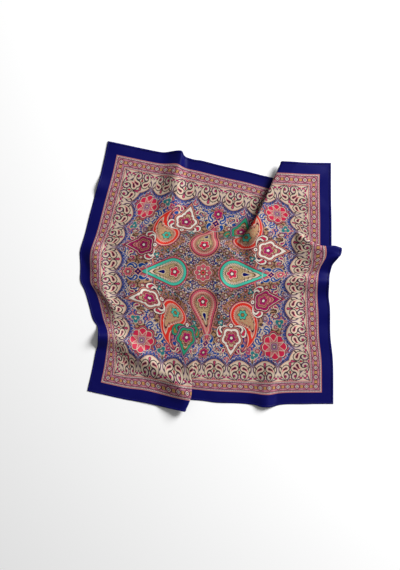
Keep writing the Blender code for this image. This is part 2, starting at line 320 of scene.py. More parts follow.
# The middle of the laid scarf's own box, which its rim gives.
rim_run = np.linspace(-SIDE / 2, SIDE / 2, RIM_STEPS)
rim_edge = np.full_like(rim_run, SIDE / 2)
rim_sides = ((rim_run, rim_edge), (rim_run, -rim_edge), (rim_edge, rim_run), (-rim_edge, rim_run))
laid_rim = fold(np.concatenate([np.column_stack(side) for side in rim_sides]))[:, :2]
LAID_MIDDLE = (laid_rim.min(axis=0) + laid_rim.max(axis=0)) / 2


def place_cloth(mesh, level):
    """Lays the vertices of a mesh, drawn on the cut square in millimetres, where the cloth lies.

    Their z is the height over the cloth's underside, which is level above the surface."""
    cut = np.array([vert.co for vert in mesh.verts], float)
    placed = fold(cut[:, :2]) + (cut[:, 2:] + level) * upward(cut[:, :2])
    placed[:, :2] -= LAID_MIDDLE
    for vert, place in zip(mesh.verts, placed * MM):
        vert.co = place


# The print: acid dyes on silk twill, screen by screen. The square is drawn in eighths, mirrored
# about both axes and the diagonals: a navy border, a guard band of rosettes, a cream band of
# scrolls with a lobed edge, and a field of botehs, palmettes, leaves and small flowers.
class Ink:
    """A value or colour on its way through a material. Its operators add Math nodes."""

    def __init__(self, tree, socket=None):
        self.tree = tree
        self.socket = socket

    def node(self, kind, settings, sockets, out=0):
        """Adds a node of this kind. Its settings are set first, then the values or links."""
        made = self.tree.nodes.new(kind)
        for name, value in settings.items():
            if name != "stops":
                setattr(made, name, value)
                continue
            ramp = made.color_ramp
            ramp.interpolation = value[0]
            while len(ramp.elements) < len(value) - 1:
                ramp.elements.new(1)
            for stop, (position, colour) in zip(ramp.elements, value[1:]):
                stop.position = position
                stop.color = colour
        for key, value in sockets.items():
            if isinstance(value, Ink):
                self.tree.links.new(value.socket, made.inputs[key])
            else:
                made.inputs[key].default_value = value
        return Ink(self.tree, made.outputs[out])

    def maths(self, operation, *values):
        return self.node("ShaderNodeMath", {"operation": operation}, dict(enumerate(values)))

    def vector(self, operation, *values, out=0):
        settings = {"operation": operation}
        return self.node("ShaderNodeVectorMath", settings, dict(enumerate(values)), out)

    def parts(self):
        split = self.node("ShaderNodeSeparateXYZ", {}, {0: self})
        return split, Ink(self.tree, split.socket.node.outputs["Y"])

    def ramp(self, mode, *stops):
        colour = self.node("ShaderNodeValToRGB", {"stops": (mode, *stops)}, {0: self})
        return colour, Ink(self.tree, colour.socket.node.outputs["Alpha"])

    def __add__(self, other):
        return self.maths("ADD", self, other)

    def __sub__(self, other):
        return self.maths("SUBTRACT", self, other)

    def __rsub__(self, other):
        return self.maths("SUBTRACT", other, self)

    def __mul__(self, other):
        return self.maths("MULTIPLY", self, other)

    def __truediv__(self, other):
        return self.maths("DIVIDE", self, other)

    def __lt__(self, other):
        return self.maths("LESS_THAN", self, other)

    def __gt__(self, other):
        return self.maths("GREATER_THAN", self, other)

    def __abs__(self):
        return self.maths("ABSOLUTE", self)


# How brightly the studio lights level cloth: each dye is weaker by this, and then it photographs
# as its colour on the chart.
LIT = 1.5


def dye(red, green, blue):
    """A colour as a shader takes it, from the 0 to 255 of a colour chart."""
    shares = [level / 255 for level in (red, green, blue)]
    linear = [((c + 0.055) / 1.055) ** 2.4 if c > 0.04045 else c / 12.92 for c in shares]
    return (*(c / LIT for c in linear), 1.0)


NAVY = dye(2, 2, 92)
CREAM = dye(214, 193, 170)
SAND = dye(180, 142, 108)
STRAW = dye(190, 164, 120)
WHITE = dye(236, 224, 210)
SALMON = dye(204, 126, 112)
DUSTY = dye(166, 117, 120)
BLUSH = dye(192, 131, 147)
ROSE = dye(200, 84, 102)
PLUM = dye(60, 20, 46)
BROWN = dye(84, 46, 38)
CRIMSON = dye(206, 40, 76)
RED = dye(222, 48, 38)
MAGENTA = dye(164, 22, 92)
TURQUOISE = dye(68, 186, 162)
GREEN = dye(38, 152, 116)
TEAL = dye(38, 124, 128)
ROYAL = dye(12, 68, 144)
OCHRE = dye(168, 122, 64)
GOLD = dye(202, 158, 96)
OLIVE = dye(116, 92, 56)
LILAC = dye(156, 120, 148)
SLATE = dye(54, 40, 44)
BARE = (0, 0, 0, 0)

silk = bpy.data.materials.new("printed_silk")
silk.use_nodes = True
tree = silk.node_tree
start = Ink(tree)

cut = start.node("ShaderNodeUVMap", {"uv_map": "cut"}, {})
drawn = start.vector("MULTIPLY_ADD", cut, (SIDE, SIDE, 0), (-SIDE / 2, -SIDE / 2, 0))
quarter = start.vector("ABSOLUTE", drawn)
drawn_u, drawn_v = drawn.parts()
quarter_u, quarter_v = quarter.parts()
outward = start.maths("MAXIMUM", quarter_u, quarter_v)
along = start.maths("MINIMUM", quarter_u, quarter_v)
sideways = quarter_u > quarter_v
turned = (drawn_u * drawn_v) > 0.0


def joined(x, y):
    return start.node("ShaderNodeCombineXYZ", {}, {0: x, 1: y})


eighth = joined(outward, along)

# How far past its outline a motif's rings may reach, as a share of its size, and how deep the
# scallops inside a motif are.
REACH = 1.5
SCALLOP_DEPTH = 0.20


def rings(near, bands):
    """The colour rings of a motif, and where they cover. bands: (out to this share, colour)."""
    starts = (0.0, *(share / REACH for share, _ in bands))
    colours = (*(colour for _, colour in bands), BARE)
    return near.ramp("CONSTANT", *zip(starts, colours))


def fill(under, cover, colour):
    """The colour under with another over it where cover is 1. A Mix node's colours have numbers."""
    return start.node("ShaderNodeMix", {"data_type": "RGBA"}, {0: cover, 6: under, 7: colour}, 2)


def paint(under, near, *bands):
    colour, cover = rings(near, bands)
    return fill(under, cover, colour)


def paint_two(under, near, which, bands, others):
    """Rings in the first colours where which is 0, and in the others where it is 1."""
    colour, cover = rings(near, bands)
    other, _ = rings(near, others)
    return fill(under, cover, fill(colour, which, other))


def polar(at, centre, size, turn=0.0, curl=0.0):
    """A motif's own reach and angle at each point. Curl bends what lies further out than size."""
    off = start.vector("SUBTRACT", at, (*centre, 0))
    x, y = off.parts()
    reach = start.vector("LENGTH", off, out="Value")
    angle = start.maths("ARCTAN2", y, x) - radians(turn)
    if curl:
        angle = angle - start.maths("MAXIMUM", reach - size, 0.0) * (radians(curl) / size)
    return reach, angle


def flower(at, centre, size, petals, depth, turn=0.0, pointed=False):
    """How near each point is to a flower, with 1 / REACH on its outline."""
    reach, angle = polar(at, centre, size, turn)
    if pointed:
        lobe = 1 - abs(start.maths("SINE", angle * (petals / 2)))
    else:
        lobe = abs(start.maths("COSINE", angle * (petals / 2)))
    edge = start.maths("MULTIPLY_ADD", lobe, depth * size * REACH, (1 - depth) * size * REACH)
    return reach / edge


def boteh(at, centre, size, length, turn=0.0, curl=0.0, scallops=0):
    """How near each point is to a boteh: a round body drawn out to a tip, and bent by curl.

    Scallops run round its inner rings, and its outline stays smooth."""
    reach, angle = polar(at, centre, size, turn, curl)
    folded = start.maths("ARCCOSINE", start.maths("COSINE", angle))
    flank = np.arccos(size / length)
    taper = start.maths("COSINE", start.maths("MAXIMUM", flank - folded, 0.0))
    near = reach * taper / (size * REACH)
    if scallops:
        wave = start.maths("COSINE", angle * scallops)
        near = near + wave * taper * (1 / REACH - near) * SCALLOP_DEPTH
    return near


def repeat(value, step, shift=0.0):
    """Where a value lies in its repeat, from minus to plus half a step."""
    share = start.maths("FRACT", start.maths("MULTIPLY_ADD", value, 1 / step, shift))
    return start.maths("MULTIPLY_ADD", share, step, -step / 2)


def scattered(at, cell, size, seed):
    """Dots strewn one to a cell: how near each point is to one, and the cell's own number."""
    shifted = start.vector("MULTIPLY_ADD", at, (1 / cell, 1 / cell, 0), (seed, seed, 0))
    flat = {"voronoi_dimensions": "2D"}
    cells = start.node("ShaderNodeTexVoronoi", flat, {"Vector": shifted, "Scale": 1.0}, "Position")
    own = Ink(tree, cells.socket.node.outputs["Color"]).parts()[0]
    off = start.vector("SUBTRACT", shifted, cells)
    return start.vector("LENGTH", off, out="Value") / (size * REACH / cell), own


def colours_by(number, *colours):
    """One of the colours for each cell, by the cell's own number."""
    stops = ((i / len(colours), colour) for i, colour in enumerate(colours))
    return number.ramp("CONSTANT", *stops)[0]


def paint_cells(under, near, share, number, *colours):
    """Each cell's own colour, out to this share of the motif."""
    colour = colours_by(number, *colours)
    return fill(under, near < share / REACH, colour)


# The outer ground of the field: cream, with scrolling stems that coil in alternate directions,
# leaves along them in blue or olive, and a blossom at the heart of each coil.
SCROLL = 36.0
STEM_PITCH = 12.0
LEAVES = 9
LEAF_LENGTH = 4.4
LEAF_SLANT = 0.20
LEAF_OFFSET = 0.12
LEAST_LEAF = 0.1
HAND_SCALE = 0.030
HAND_WAVER = 12
SHADE_SCALE = 0.016


def clouds(scale, out=0):
    """Soft noise over the print, with scale as waves a millimetre."""
    sockets = {"Vector": quarter, "Scale": scale, "Detail": 0.0}
    return start.node("ShaderNodeTexNoise", {"noise_dimensions": "2D"}, sockets, out)


drawn_by_hand = clouds(HAND_SCALE, out="Color")
shade_noise = clouds(SHADE_SCALE)
wavering = start.vector("MULTIPLY_ADD", drawn_by_hand, (HAND_WAVER, HAND_WAVER, 0), quarter)


def coils(at, cell, pitch, leaves, leaf_length):
    """Scrolling stems: how far each point is from a stem and its leaves, and from a coil's heart."""
    x, y = at.parts()
    x = start.maths("PINGPONG", x, cell) - cell / 2
    y = start.maths("PINGPONG", y, cell) - cell / 2
    spot = joined(x, y)
    reach, angle = polar(spot, (0, 0), 1)
    turn = start.maths("FRACT", reach / pitch - angle / (2 * pi))
    beside_stem = (turn - 0.5) * pitch
    slanted = start.maths("MULTIPLY_ADD", beside_stem, -LEAF_SLANT, angle * (leaves / 2))
    leaf_wave = abs(start.maths("SINE", slanted))
    off_leaf = abs(beside_stem - leaf_length * LEAF_OFFSET)
    leaf_reach = off_leaf / start.maths("MULTIPLY_ADD", leaf_wave, leaf_length, LEAST_LEAF)
    block = start.vector("FLOOR", start.vector("MULTIPLY", at, (1 / cell, 1 / cell, 0)))
    own = start.node("ShaderNodeTexWhiteNoise", {"noise_dimensions": "2D"}, {"Vector": block})
    return abs(beside_stem), leaf_reach, spot, own


leafy = shade_noise.ramp("EASE", (0.36, SAND), (0.46, CREAM), (0.55, CREAM), (0.62, SALMON))[0]
beside_stem, leaf, heart_spot, number = coils(wavering, SCROLL, STEM_PITCH, LEAVES, LEAF_LENGTH)
seed_dot, seed_number = scattered(quarter, cell=5.2, size=1.1, seed=31)
leafy = paint_cells(leafy, seed_dot, 1.1, seed_number, ROSE, MAGENTA, OCHRE, PLUM, ROYAL)
leafy = fill(leafy, leaf < 1.0, shade_noise.ramp("CONSTANT", (0.0, OLIVE), (0.44, ROYAL))[0])
leafy = fill(leafy, beside_stem < 1.1, shade_noise.ramp("CONSTANT", (0.0, PLUM), (0.44, ROYAL))[0])
blossom = flower(heart_spot, (0, 0), 8.0, 5, 0.3, turn=90)
leafy = paint_cells(leafy, blossom, 1.34, number, CREAM, SALMON, ROSE, LILAC)
leafy = paint_cells(leafy, blossom, 1.12, number, PLUM, MAGENTA, PLUM, BROWN)
leafy = paint_cells(leafy, blossom, 0.78, number, ROSE, MAGENTA, SALMON, CREAM, CRIMSON, LILAC)
leafy = paint(leafy, blossom, (0.24, PLUM), (0.36, WHITE))

# The middle of the field: a lobed medallion of sand, strewn with specks between finer stems.
MEDALLION = 196.0
FINE_SCROLL = SCROLL * 2 / 3
FINE_PITCH = 9.0
FINE_LEAVES = 7
FINE_LEAF_LENGTH = 3.6
sandy = shade_noise.ramp("EASE", (0.34, DUSTY), (0.42, CREAM), (0.57, CREAM), (0.66, DUSTY))[0]
speck, number = scattered(quarter, cell=4.4, size=1.25, seed=11)
sandy = paint_cells(sandy, speck, 1.2, number, BROWN, ROYAL, PLUM, ROSE, ROYAL, OLIVE)
beside_stem, leaf, heart_spot, number = coils(
    wavering, FINE_SCROLL, FINE_PITCH, FINE_LEAVES, FINE_LEAF_LENGTH
)
sandy = fill(
    sandy, leaf < 1.0,
    shade_noise.ramp("CONSTANT", (0.0, OLIVE), (0.44, ROYAL), (0.58, OCHRE))[0],
)
sandy = fill(sandy, beside_stem < 0.95, BROWN)
small_blossom = flower(heart_spot, (0, 0), 5.4, 5, 0.3, turn=90)
sandy = paint_cells(sandy, small_blossom, 1.20, number, BROWN, PLUM)
sandy = paint_cells(sandy, small_blossom, 0.74, number, SALMON, ROSE, CREAM, LILAC, TEAL)
sandy = paint(sandy, small_blossom, (0.24, WHITE), (0.36, PLUM))
medallion = flower(quarter, (0, 0), MEDALLION, 8, 0.16, turn=22.5)
field = fill(leafy, medallion < 1 / REACH, sandy)

# Specks for the motifs to come. A renderer keeps few values at a time, so those motifs are drawn
# from places that a hair of the ground's own colour is added to: they wait until it is finished.
WAITS = 1e-9
speck, _ = scattered(quarter, cell=4.0, size=1.0, seed=7)
seed_dot, _ = scattered(quarter, cell=4.6, size=1.1, seed=19)
quarter = start.vector("MULTIPLY_ADD", field, (WAITS, WAITS, WAITS), quarter)
quarter_u, quarter_v = quarter.parts()
outward = start.maths("MAXIMUM", quarter_u, quarter_v)
along = start.maths("MINIMUM", quarter_u, quarter_v)
sideways = quarter_u > quarter_v
eighth = joined(outward, along)

# The medallion's outline.
medallion = flower(quarter, (0, 0), MEDALLION, 8, 0.16, turn=22.5)
line = abs(medallion - 1 / REACH)
field = fill(field, line < 0.019, PLUM)
field = fill(field, line < 0.0115, SALMON)
line = abs(medallion - 1.045 / REACH)
field = fill(field, line < 0.0045, ROYAL)

# The rosette in the middle, with eight petals round a gold eye.
rosette = flower(quarter, (0, 0), 33, 8, 0.22)
field = paint(
    field, rosette,
    (0.90, ROSE), (0.98, CREAM), (1.07, PLUM), (1.14, SALMON), (1.19, BROWN),
)
rosette = flower(quarter, (0, 0), 24, 8, 0.42, turn=22.5, pointed=True)
field = paint(field, rosette, (0.86, CREAM), (1.0, PLUM))
rosette = flower(quarter, (0, 0), 12, 8, 0.2)
field = paint(field, rosette, (0.3, PLUM), (0.5, OCHRE), (0.86, CRIMSON), (1.0, PLUM))

# Botehs on the axes: turquoise to the sides, rose above and below.
drop = boteh(eighth, (106, 0), 47, 126, scallops=34)
field = paint_two(
    field, drop, sideways,
    (
        (0.60, STRAW), (0.66, PLUM), (0.80, SALMON), (0.84, CREAM),
        (1.0, ROSE), (1.06, PLUM), (1.13, SALMON),
    ),
    (
        (0.62, STRAW), (0.67, BROWN), (0.77, CREAM), (0.81, BROWN),
        (1.0, TURQUOISE), (1.05, BROWN), (1.13, ROSE),
    ),
)
inner = (drop < 0.60 / REACH) * (speck < 1 / REACH)
field = fill(field, inner, BROWN)
heart = flower(eighth, (100, 0), 23, 5, 0.36, turn=180)
field = paint(
    field, heart,
    (0.24, WHITE), (0.40, PLUM), (0.80, CRIMSON), (0.92, CREAM), (1.06, BROWN),
)
heart = boteh(eighth, (143, 0), 8, 28)
field = paint(field, heart, (0.8, NAVY), (1.1, CREAM))
tip = flower(eighth, (241, 0), 15, 4, 0.4, pointed=True)
field = paint(field, tip, (0.3, SALMON), (0.82, NAVY), (1.0, ROSE), (1.15, CREAM))

# Red botehs on the diagonals, with their tips curled over.
drop = boteh(quarter, (142, 142), 44, 116, turn=45, curl=26, scallops=32)
field = paint(
    field, drop,
    (0.58, STRAW), (0.63, PLUM), (0.70, SALMON), (0.76, CREAM),
    (0.98, RED), (1.03, CREAM), (1.10, ROSE), (1.15, PLUM),
)
inner = (drop < 0.58 / REACH) * (speck < 1 / REACH)
field = fill(field, inner, CRIMSON)
heart = flower(quarter, (140, 140), 19, 6, 0.34)
field = paint(field, heart, (0.28, OCHRE), (0.42, PLUM), (0.84, TURQUOISE), (1.0, BROWN))

# Palmettes on each side of the axes, white, green or magenta: a lobed body with a tip, over two
# leaves that curl away from its stem.
PALMETTE = (220, 97)
green = turned * (1 - sideways)
magenta = sideways * (1 - turned)
palmette_x, palmette_y = start.vector("SUBTRACT", eighth, (*PALMETTE, 0)).parts()
beside = joined(palmette_x, abs(palmette_y))
curl_leaf = boteh(beside, (-14, 43), 12, 50, turn=152, curl=34, scallops=9)
field = paint_two(
    field, curl_leaf, green,
    ((0.40, CRIMSON), (0.54, PLUM), (0.98, WHITE), (1.22, PLUM)),
    ((0.40, OCHRE), (0.54, PLUM), (0.98, GREEN), (1.22, PLUM)),
)
curl_leaf = boteh(beside, (44, 26), 8, 34, turn=20, curl=30)
field = paint(field, curl_leaf, (0.50, MAGENTA), (0.95, CREAM), (1.25, PLUM))
palmette = boteh(eighth, PALMETTE, 34, 70, scallops=16)
palmette = start.maths("MINIMUM", palmette, flower(eighth, PALMETTE, 40, 5, 0.26))
in_magenta = paint(
    field, palmette,
    (0.52, ROSE), (0.56, PLUM), (0.64, SALMON), (0.70, PLUM),
    (0.90, MAGENTA), (0.96, CREAM), (1.06, PLUM), (1.12, ROSE),
)
field = paint_two(
    field, palmette, green,
    (
        (0.52, STRAW), (0.56, PLUM), (0.64, ROSE), (0.70, BROWN),
        (0.90, WHITE), (0.96, PLUM), (1.06, SALMON), (1.12, PLUM),
    ),
    (
        (0.52, BROWN), (0.56, CREAM), (0.64, OCHRE), (0.70, PLUM),
        (0.90, GREEN), (0.96, PLUM), (1.06, LILAC), (1.12, PLUM),
    ),
)
field = fill(field, magenta, in_magenta)
inner = (palmette < 0.52 / REACH) * (seed_dot < 1 / REACH)
field = fill(field, inner, CREAM)
palmette = flower(eighth, PALMETTE, 21, 5, 0.34)
field = paint(
    field, palmette,
    (0.26, WHITE), (0.40, PLUM), (0.82, MAGENTA), (0.94, SALMON), (1.06, BROWN),
)
bead = flower(eighth, (177, 97), 8.5, 1, 0.0)
field = paint(field, bead, (0.30, PLUM), (0.78, WHITE), (1.0, PLUM))

# Flowers and blue leaves at the ends of the axes, and sprigs between the botehs.
leaf = boteh(eighth, (250, 19), 8.5, 52, turn=54, curl=-24)
field = paint(field, leaf, (0.34, CREAM), (1.0, ROYAL), (1.25, CREAM))
leaf = boteh(eighth, (233, 21), 6.5, 34, turn=140, curl=20)
field = paint(field, leaf, (1.0, ROYAL), (1.3, CREAM))
leaf = boteh(eighth, (228, 190), 8, 50, turn=18, curl=26)
field = paint(field, leaf, (0.34, CREAM), (1.0, ROYAL), (1.25, CREAM))
end = flower(eighth, (276, 0), 19, 6, 0.3)
field = paint_two(
    field, end, sideways,
    ((0.25, CREAM), (0.4, PLUM), (0.82, MAGENTA), (0.94, SALMON), (1.08, PLUM)),
    ((0.25, CREAM), (0.4, PLUM), (0.82, ROSE), (0.94, CREAM), (1.08, PLUM)),
)
spray = flower(eighth, (168, 60), 13, 3, 0.6, turn=20)
field = paint(field, spray, (0.3, CREAM), (0.8, TEAL), (1.0, PLUM))
spray = flower(eighth, (278, 178), 17, 3, 0.62, turn=-30)
field = paint(field, spray, (0.26, CREAM), (0.36, PLUM), (0.92, TEAL), (1.04, CREAM))

# Star flowers in the corners of the field.
CORNER_FLOWER = (252, 252)
corner = flower(quarter, CORNER_FLOWER, 46, 8, 0.18)
field = paint(
    field, corner,
    (0.90, CRIMSON), (0.96, CREAM), (1.02, PLUM), (1.10, ROSE), (1.15, BROWN),
)
corner = flower(quarter, CORNER_FLOWER, 39, 8, 0.5, turn=22.5, pointed=True)
field = paint(field, corner, (0.84, ROSE), (1.0, CREAM))
inner = (corner < 0.84 / REACH) * (speck < 0.9 / REACH)
field = fill(field, inner, CREAM)
corner = flower(quarter, CORNER_FLOWER, 16, 4, 0.24, turn=45)
field = paint(
    field, corner,
    (0.24, CREAM), (0.4, PLUM), (0.74, LILAC), (0.9, MAGENTA), (1.04, CREAM), (1.14, PLUM),
)

# The cream band: a lobed edge with a fringe of blue leaves, scrolls, and comma leaves.
LOBE = 86.25
LOBE_DEPTH = 27.0
BAND_INNER = 323.0
BAND_MIDDLE = 346.0
FRINGE = 17.0
FRONDS = 7
FROND_FALLS = 0.6
LEAST_FROND = 2.0
lobe_rise = abs(start.maths("SINE", along * (pi / LOBE)))
lobe_edge = start.maths("MULTIPLY_ADD", lobe_rise, -LOBE_DEPTH, BAND_INNER)
past_edge = outward - lobe_edge
tongue = start.maths("POWER", abs(start.maths("SINE", along * (pi * FRONDS / LOBE))), FROND_FALLS)
frond = (0 - past_edge) / start.maths("MULTIPLY_ADD", tongue, FRINGE, LEAST_FROND)
field = paint(field, frond, (0.64 * REACH, ROYAL), (0.80 * REACH, CREAM), (1.0 * REACH, ROYAL))
field = fill(field, (seed_dot < 1 / REACH) * (frond < 0.62), LILAC)
band = fill(field, past_edge > 0.0, CREAM)
line = abs(past_edge - 1.2)
band = fill(band, line < 1.3, PLUM)
line = abs(past_edge - 4.6)
band = fill(band, line < 0.8, SALMON)

across = outward - BAND_MIDDLE
lobe_y = repeat(along, LOBE)
tile = joined(across, abs(lobe_y))
scroll = boteh(tile, (8, 17), 12.0, 50, turn=82, curl=26, scallops=9)
band = paint(
    band, scroll,
    (0.34, MAGENTA), (0.46, SLATE), (0.86, CREAM), (1.02, LILAC), (1.30, SLATE),
)
scroll = boteh(tile, (-20, 14), 10.5, 46, turn=64, curl=-22, scallops=9)
band = paint(band, scroll, (0.36, PLUM), (0.50, ROSE), (0.98, CREAM), (1.28, SLATE))
COMMA_LEAVES = (
    # across, along, size, length, turn, rings
    (-37, 0, 4.2, 15, 0, ((0.5, ROSE), (0.9, MAGENTA), (1.25, PLUM))),
    (-8, 0, 3.4, 13, 0, ((0.6, CRIMSON), (1.1, PLUM))),
    (19, 2, 2.6, 12, 30, ((1.0, MAGENTA),)),
    (14, 38, 3.2, 14, -110, ((1.0, MAGENTA),)),
    (-25, 33, 2.8, 12, -40, ((1.0, PLUM),)),
)
for leaf_across, leaf_along, size, length, turn, bands in COMMA_LEAVES:
    comma = boteh(tile, (leaf_across, leaf_along), size, length, turn=turn)
    band = paint(band, comma, *bands)

# The guard band: rosettes and gold flowers on a blush ground, between dotted rows and fine lines.
GUARD_INNER = 369.0
GUARD_OUTER = 410.0
GUARD_MIDDLE = (GUARD_INNER + GUARD_OUTER) / 2
GUARD_STEP = GUARD_MIDDLE / 12
DOTS_A_STEP = 6
DOT_ROW = 15.8
PLUM_LINE = 12.6
SALMON_LINE = 19.3
across = outward - GUARD_MIDDLE
guard = fill(band, outward > GUARD_INNER, BLUSH)
tile = joined(across, repeat(along, GUARD_STEP, 0.5))
rosette = flower(tile, (0, 0), 9.6, 4, 0.30)
guard = paint(
    guard, rosette,
    (0.22, WHITE), (0.46, NAVY), (0.74, CREAM), (0.92, MAGENTA), (1.14, PLUM),
)
corner_leaf = flower(start.vector("ABSOLUTE", tile), (8.9, 8.2), 3.4, 3, 0.4, turn=45)
guard = paint(guard, corner_leaf, (0.4, CREAM), (1.0, MAGENTA))
tile = joined(across, repeat(along, GUARD_STEP))
gold = flower(tile, (0, 0), 7.0, 4, 0.3, turn=45)
guard = paint(guard, gold, (0.26, CRIMSON), (0.84, GOLD), (1.10, PLUM))
dots = joined(abs(across), repeat(along, GUARD_STEP / DOTS_A_STEP))
dot = flower(dots, (DOT_ROW, 0), 1.7, 1, 0.0)
guard = paint(guard, dot, (0.9, WHITE), (1.4, PLUM))
guard_line = abs(abs(across) - PLUM_LINE)
guard = fill(guard, guard_line < 0.8, PLUM)
guard_line = abs(abs(across) - SALMON_LINE)
guard = fill(guard, guard_line < 1.0, SALMON)

# The plain navy border.
print_colour = fill(guard, outward > GUARD_OUTER, NAVY)

# Dye that reaches the back of the silk is paler there. The bake map keeps the back to its right.
FRONT_ROOM = 0.86
MAP_MARGIN = 0.004
BACK_PALER = 0.3
bake_across = start.node("ShaderNodeUVMap", {"uv_map": "OFBake"}, {}).parts()[0]
on_back = bake_across > FRONT_ROOM + MAP_MARGIN
print_colour = fill(print_colour, on_back * BACK_PALER, CREAM)

# The twill's fine ribs, and the uneven gloss of silk that has been handled.
TWILL_PITCH = 1.3
TWILL_DEPTH = 0.03
RIB_SHARE = 0.5
SLUB_SHARE = 1.5
SLUB_STRETCH = (0.30, 0.05, 0)
SILK_ROUGHNESS = 0.5
GLOSS_SPREAD = 0.16
SHEEN = 0.04
SHEEN_ROUGHNESS = 0.4
SPECULAR = 0.12


def twill(start, across, along, place, shader):
    """Gives a material the ribs and the gloss of silk twill. across and along are millimetres."""
    rib = start.maths("SINE", (across + along) * (2 * pi / TWILL_PITCH))
    slub = start.node("ShaderNodeTexNoise", {}, {"Vector": place, "Scale": 1.0, "Detail": 2.0})
    height = rib * RIB_SHARE + slub * SLUB_SHARE
    sockets = {"Height": height, "Strength": 1.0, "Distance": TWILL_DEPTH * MM}
    bump = start.node("ShaderNodeBump", {}, sockets)
    gloss = start.maths("MULTIPLY_ADD", slub - 0.5, GLOSS_SPREAD, SILK_ROUGHNESS)
    start.tree.links.new(bump.socket, shader.inputs["Normal"])
    start.tree.links.new(gloss.socket, shader.inputs["Roughness"])
    shader.inputs["Sheen Weight"].default_value = SHEEN
    shader.inputs["Sheen Roughness"].default_value = SHEEN_ROUGHNESS
    shader.inputs["Specular IOR Level"].default_value = SPECULAR


shader = tree.nodes["Principled BSDF"]
tree.links.new(print_colour.socket, shader.inputs["Base Color"])
slub_place = start.vector("MULTIPLY", drawn, SLUB_STRETCH)
twill(start, drawn_u, drawn_v, slub_place, shader)

# The panel: one square of silk twill, the print and the navy border in one piece. Its wall is
# drawn a little heavy, and its cells are finer along the tucks.
PANEL_WALL = 0.45
PANEL_LEVEL = 0.1
COLUMNS = 222
ROWS = 222
CELL = 4.7
FINE_CELL = 2.7
TOP_FINE = 46.0
RIGHT_FINE = 34.0
RIGHT_LOWERED = 10.0
FADE = 36.0
SPACING_STEPS = 2400
ROW_SAMPLES = 400
TUCKED_FROM = 120
TUCKED_BY = 20
UNDER_HEM = 3.0
PANEL_EDGE = INNER + UNDER_HEM


def piece(name, mesh, material):
    """A finished piece at the origin, from a bmesh."""
    data = bpy.data.meshes.new(name)
    mesh.to_mesh(data)
    mesh.free()
    data.shade_smooth()
    data.materials.append(material)
    made = bpy.data.objects.new(name, data)
    bpy.context.scene.collection.objects.link(made)
    return made


def spaced(count, fine_middle, fine_half):
    """count + 1 positions across the panel, close together within fine_half of fine_middle."""
    t = np.linspace(-PANEL_EDGE, PANEL_EDGE, SPACING_STEPS)
    fine = smooth((fine_half + FADE - np.abs(t - fine_middle)) / FADE)
    density = 1 / CELL + (1 / FINE_CELL - 1 / CELL) * fine
    filled = np.concatenate([[0], np.cumsum((density[1:] + density[:-1]) / 2)])
    return np.interp(np.linspace(0, filled[-1], count + 1), filled, t)


def columns_at(v):
    """Where the columns stand in the row at v: close along the top and the bottom tuck."""
    name, top_u, top_v, top_apex_u, top_apex_v, bend = TUCKS[0]
    name, low_u, low_v, low_apex_u, low_apex_v, bend = TUCKS[1]
    spots_v = (low_v, low_apex_v, top_apex_v, top_v)
    middle = np.interp(v, spots_v, (low_u, low_apex_u, top_apex_u, top_u))
    return spaced(COLUMNS, middle, TOP_FINE)


def rows_at(u):
    """Where the rows stand in the column at u: even, and close along the right tuck."""
    name, mouth_u, mouth_v, apex_u, apex_v, bend = TUCKS[2]
    middle = np.interp(u, (apex_u, mouth_u), (apex_v, mouth_v)) - RIGHT_LOWERED
    fine = np.interp(u, (apex_u - TUCKED_FROM, apex_u - TUCKED_BY), (0, 1))
    even_rows = np.linspace(-PANEL_EDGE, PANEL_EDGE, ROWS + 1)
    return fine * spaced(ROWS, middle, RIGHT_FINE) + (1 - fine) * even_rows


even = np.linspace(-PANEL_EDGE, PANEL_EDGE, COLUMNS + 1)
grid_v = np.array([rows_at(u) for u in even]).T
row_places = np.linspace(-PANEL_EDGE, PANEL_EDGE, ROW_SAMPLES)
row_columns = np.array([columns_at(v) for v in row_places])
grid_u = np.column_stack([
    np.interp(grid_v[:, i], row_places, row_columns[:, i]) for i in range(COLUMNS + 1)
])

cloth = bmesh.new()
bmesh.ops.create_grid(cloth, x_segments=COLUMNS, y_segments=ROWS, size=0.5)
in_rows = sorted(cloth.verts, key=lambda vert: (round(vert.co.y, 6), round(vert.co.x, 6)))
for vert, u, v in zip(in_rows, grid_u.ravel(), grid_v.ravel()):
    vert.co = (u, v, 0)
printed_side = bmesh.ops.extrude_face_region(cloth, geom=cloth.faces[:], use_keep_orig=True)["geom"]
for element in printed_side:
    if isinstance(element, bmesh.types.BMVert):
        element.co.z = PANEL_WALL
printed_faces = {element for element in printed_side if isinstance(element, bmesh.types.BMFace)}

# Two maps of the cut square: one for the print, and one that gives each side its own room.
FRONT_SPAN = (MAP_MARGIN, FRONT_ROOM)
BACK_SPAN = (FRONT_ROOM + 2 * MAP_MARGIN, 1 - MAP_MARGIN)
cut_map = cloth.loops.layers.uv.new("cut")
bake_map = cloth.loops.layers.uv.new("OFBake")
for face in cloth.faces:
    left, right = FRONT_SPAN if face in printed_faces else BACK_SPAN
    for loop in face.loops:
        u, v = loop.vert.co.x / SIDE + 0.5, loop.vert.co.y / SIDE + 0.5
        loop[cut_map].uv = (u, v)
        loop[bake_map].uv = (left + (right - left) * u, MAP_MARGIN + (1 - 2 * MAP_MARGIN) * v)
place_cloth(cloth, PANEL_LEVEL)
bmesh.ops.recalc_face_normals(cloth, faces=cloth.faces[:])
panel = piece("silk_panel", cloth, silk)
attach(panel, "root")
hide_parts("panel")

# The hems: the edge of the square, rolled over twice and sewn down all round. They are the same
# silk in the border's navy, and stand a little prouder than the panel that they run into.
HEM_HALF_WIDTH = 3.4
HEM_HALF_HEIGHT = 0.95
HEM_SECTION = 12
HEM_STEPS = 420
HEM_MIDDLE = SIDE / 2 - HEM_HALF_WIDTH
HEM_LEVEL = 0.05
HEM_SIDES = ("top", "left", "bottom", "right")
HEM_DYE_SCALE = 0.05
HEM_SLUB_SCALE = 0.3
SAME_SPOT = 0.001

